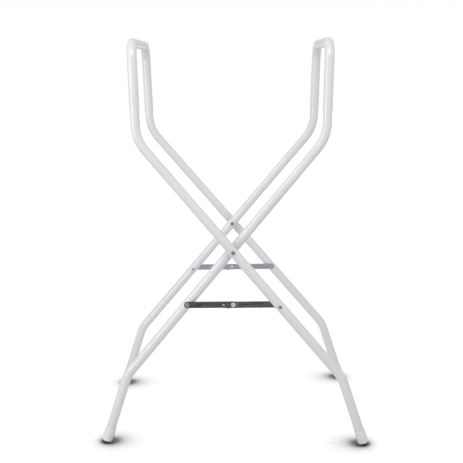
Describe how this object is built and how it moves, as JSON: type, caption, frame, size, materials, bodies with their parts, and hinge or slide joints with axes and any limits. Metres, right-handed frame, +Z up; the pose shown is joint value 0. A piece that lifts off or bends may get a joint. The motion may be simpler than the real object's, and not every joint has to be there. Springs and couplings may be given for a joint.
{
  "type": "folding sawhorse",
  "caption": "Folding X-leg stand of two bent round-tube frames crossing on side pivots, with hinged flat locking struts and two raised rails.",
  "frame": {"origin": "on the floor, midway between the four feet", "axes": "+X from the outer frame's rail towards the inner frame's rail, +Y from front to rear along the rails, +Z up"},
  "size_m": [0.6242, 0.4638, 0.931],
  "materials": {
    "white_powder_coat": "satin white powder coat",
    "white_cap_plastic": "matt moulded",
    "dark_spacer_plastic": "matt moulded",
    "pale_bush_plastic": "matt moulded",
    "link_steel": "rolled, dull zinc",
    "dark_nut_steel": "dull",
    "bright_zinc_steel": "bright zinc"
  },
  "bodies": {
    "outer_frame": {"outer_tube": "white_powder_coat", "outer_cap_front": "white_cap_plastic", "outer_cap_rear": "white_cap_plastic", "pivot_screw_front": "bright_zinc_steel", "pivot_screw_rear": "bright_zinc_steel", "pivot_nut_front": "dark_nut_steel", "pivot_nut_rear": "dark_nut_steel", "pivot_spacer_front": "dark_spacer_plastic", "pivot_spacer_rear": "dark_spacer_plastic", "outer_strut_screw_front": "bright_zinc_steel", "outer_strut_screw_rear": "bright_zinc_steel", "outer_strut_nut_front": "bright_zinc_steel", "outer_strut_nut_rear": "bright_zinc_steel", "outer_strut_bush_front": "pale_bush_plastic", "outer_strut_bush_rear": "pale_bush_plastic"},
    "inner_frame": {"inner_tube": "white_powder_coat", "inner_cap_front": "white_cap_plastic", "inner_cap_rear": "white_cap_plastic", "inner_strut_screw_front": "bright_zinc_steel", "inner_strut_screw_rear": "bright_zinc_steel", "inner_strut_ring_front": "bright_zinc_steel", "inner_strut_ring_rear": "bright_zinc_steel", "inner_strut_nut_front": "bright_zinc_steel", "inner_strut_nut_rear": "bright_zinc_steel", "inner_strut_bush_front": "pale_bush_plastic", "inner_strut_bush_rear": "pale_bush_plastic"},
    "outer_link_body_front": {"outer_link_front": "link_steel", "rivet_head_front": "bright_zinc_steel", "detent_stud_front": "bright_zinc_steel"},
    "inner_link_body_front": {"inner_link_front": "link_steel", "rivet_tail_front": "bright_zinc_steel"},
    "outer_link_body_rear": {"outer_link_rear": "link_steel", "rivet_head_rear": "bright_zinc_steel", "detent_stud_rear": "bright_zinc_steel"},
    "inner_link_body_rear": {"inner_link_rear": "link_steel", "rivet_tail_rear": "bright_zinc_steel"}
  },
  "joints": [
    {"name": "fold", "type": "hinge", "parent": "outer_frame", "child": "inner_frame", "pos_m": [0, 0, 0.45553], "axis": [0, -1, 0], "range_deg": [0, 47.5]},
    {"name": "outer_link_pivot_front", "type": "hinge", "parent": "outer_frame", "child": "outer_link_body_front", "pos_m": [0.106, -0.18786, 0.32999], "axis": [0, -1, 0], "range_deg": [0, 90]},
    {"name": "inner_link_pivot_front", "type": "hinge", "parent": "inner_frame", "child": "inner_link_body_front", "pos_m": [-0.106, -0.18786, 0.32999], "axis": [0, 1, 0], "range_deg": [0, 90]},
    {"name": "outer_link_pivot_rear", "type": "hinge", "parent": "outer_frame", "child": "outer_link_body_rear", "pos_m": [0.106, 0.18786, 0.32999], "axis": [0, -1, 0], "range_deg": [0, 90]},
    {"name": "inner_link_pivot_rear", "type": "hinge", "parent": "inner_frame", "child": "inner_link_body_rear", "pos_m": [-0.106, 0.18786, 0.32999], "axis": [0, 1, 0], "range_deg": [0, 90]}
  ],
  "couplings": [
    {"joint": "outer_link_pivot_front", "follows": "fold", "ratio": 1.8474},
    {"joint": "inner_link_pivot_front", "follows": "fold", "ratio": 1.8474},
    {"joint": "outer_link_pivot_rear", "follows": "fold", "ratio": 1.8474},
    {"joint": "inner_link_pivot_rear", "follows": "fold", "ratio": 1.8474}
  ]
}
